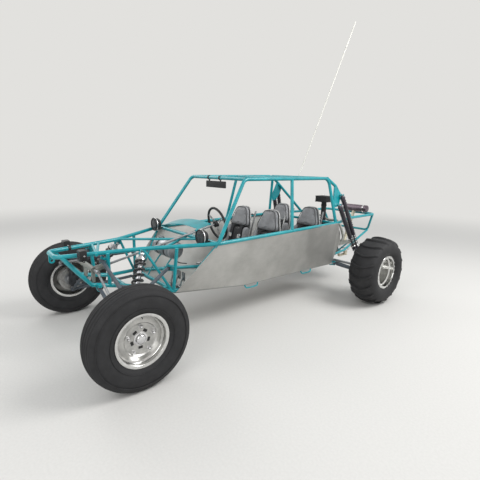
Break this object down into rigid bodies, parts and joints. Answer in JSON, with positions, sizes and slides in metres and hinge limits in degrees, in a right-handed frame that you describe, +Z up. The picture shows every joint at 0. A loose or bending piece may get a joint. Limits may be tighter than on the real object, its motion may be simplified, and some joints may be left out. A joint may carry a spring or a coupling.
{
  "type": "four-seat dune buggy",
  "caption": "Open tube-frame sand buggy with side-by-side seats in two rows, long-travel arms, a rear engine and paddle tyres that rolls and steers.",
  "frame": {"origin": "on the ground, in the middle of the vehicle's length and width", "axes": "+Z up, -Y towards the nose, +X towards the vehicle's left side"},
  "size_m": [2.4362, 4.43, 3.7205],
  "materials": {
    "teal_paint": "gloss powder coat over steel tube",
    "bare_aluminium": "dull bare sheet",
    "tyre": "dusty rubber",
    "polished_rim": "polished spun aluminium",
    "bare_steel": "machined steel",
    "arm_paint": "dark blue-grey paint",
    "damper_steel": "plated body with black springs",
    "seat_vinyl": "grey and black vinyl",
    "seat_tube": "silver paint",
    "cast_alloy": "rough cast",
    "muffler_steel": "heat-stained steel",
    "black_plastic": "moulded",
    "tank_grey": "spun tank",
    "whip_white": "glass-fibre rod"
  },
  "bodies": {
    "chassis": {"air_cleaner": "black_plastic", "cross_tubes": "teal_paint", "dash_cowl": "teal_paint", "engine_block": "cast_alloy", "floor_pan": "bare_aluminium", "front_coilovers": "damper_steel", "front_stays": "teal_paint", "fuel_tank": "tank_grey", "lamps": "black_plastic", "link_brackets": "bare_steel", "lower_arms": "arm_paint", "lower_rails": "teal_paint", "muffler": "muffler_steel", "pedals": "black_plastic", "rack_housing": "cast_alloy", "rear_arms": "arm_paint", "rear_cage": "teal_paint", "rear_mirror": "black_plastic", "rear_shocks": "damper_steel", "roof_bars": "teal_paint", "roof_hoops": "teal_paint", "seat_frames": "seat_tube", "seat_pads": "seat_vinyl", "shock_towers": "teal_paint", "side_panels": "bare_aluminium", "top_rails": "teal_paint", "tow_eyes": "teal_paint", "transaxle": "cast_alloy", "upper_arms": "arm_paint", "whip": "whip_white"},
    "left_knuckle": {"left_knuckle": "bare_steel"},
    "right_knuckle": {"right_knuckle": "bare_steel"},
    "front_left_wheel": {"front_left_tyre": "tyre", "front_left_rim": "polished_rim", "front_left_hub": "bare_steel"},
    "front_right_wheel": {"front_right_tyre": "tyre", "front_right_rim": "polished_rim", "front_right_hub": "bare_steel"},
    "rear_left_wheel": {"rear_left_tyre": "tyre", "rear_left_rim": "polished_rim", "rear_left_hub": "bare_steel"},
    "rear_right_wheel": {"rear_right_tyre": "tyre", "rear_right_rim": "polished_rim", "rear_right_hub": "bare_steel"},
    "steering_wheel": {"steering_wheel": "black_plastic", "steering_shaft": "bare_steel"},
    "steering_rack": {"tie_rods": "bare_steel"}
  },
  "joints": [
    {"name": "left_steer", "type": "hinge", "parent": "chassis", "child": "left_knuckle", "pos_m": [0.8, -1.815, 0.3], "axis": [-0.0333, 0, 0.9994], "range_deg": [-28, 28]},
    {"name": "right_steer", "type": "hinge", "parent": "chassis", "child": "right_knuckle", "pos_m": [-0.8, -1.815, 0.3], "axis": [0.0333, 0, 0.9994], "range_deg": [-28.5, 28.5]},
    {"name": "steering_wheel_turn", "type": "hinge", "parent": "chassis", "child": "steering_wheel", "pos_m": [0.255, -0.625, 1.06], "axis": [0.0835, 0.966, 0.2449], "range_deg": [-272, 272]},
    {"name": "rack_slide", "type": "slide", "parent": "chassis", "child": "steering_rack", "axis": [1, 0, 0], "range_m": [-0.0525, 0.0525]},
    {"name": "front_left_roll", "type": "hinge", "parent": "left_knuckle", "child": "front_left_wheel", "pos_m": [0.912, -1.815, 0.4], "axis": [1, 0, 0], "continuous": true},
    {"name": "rear_left_roll", "type": "hinge", "parent": "chassis", "child": "rear_left_wheel", "pos_m": [1.041, 1.285, 0.4151], "axis": [1, 0, 0], "continuous": true},
    {"name": "front_right_roll", "type": "hinge", "parent": "right_knuckle", "child": "front_right_wheel", "pos_m": [-0.912, -1.815, 0.4], "axis": [1, 0, 0], "continuous": true},
    {"name": "rear_right_roll", "type": "hinge", "parent": "chassis", "child": "rear_right_wheel", "pos_m": [-1.041, 1.285, 0.4151], "axis": [1, 0, 0], "continuous": true}
  ],
  "couplings": [
    {"joint": "right_steer", "follows": "left_steer", "ratio": 1},
    {"joint": "steering_wheel_turn", "follows": "left_steer", "ratio": 9.64},
    {"joint": "rack_slide", "follows": "left_steer", "m_per_rad": 0.1057}
  ]
}
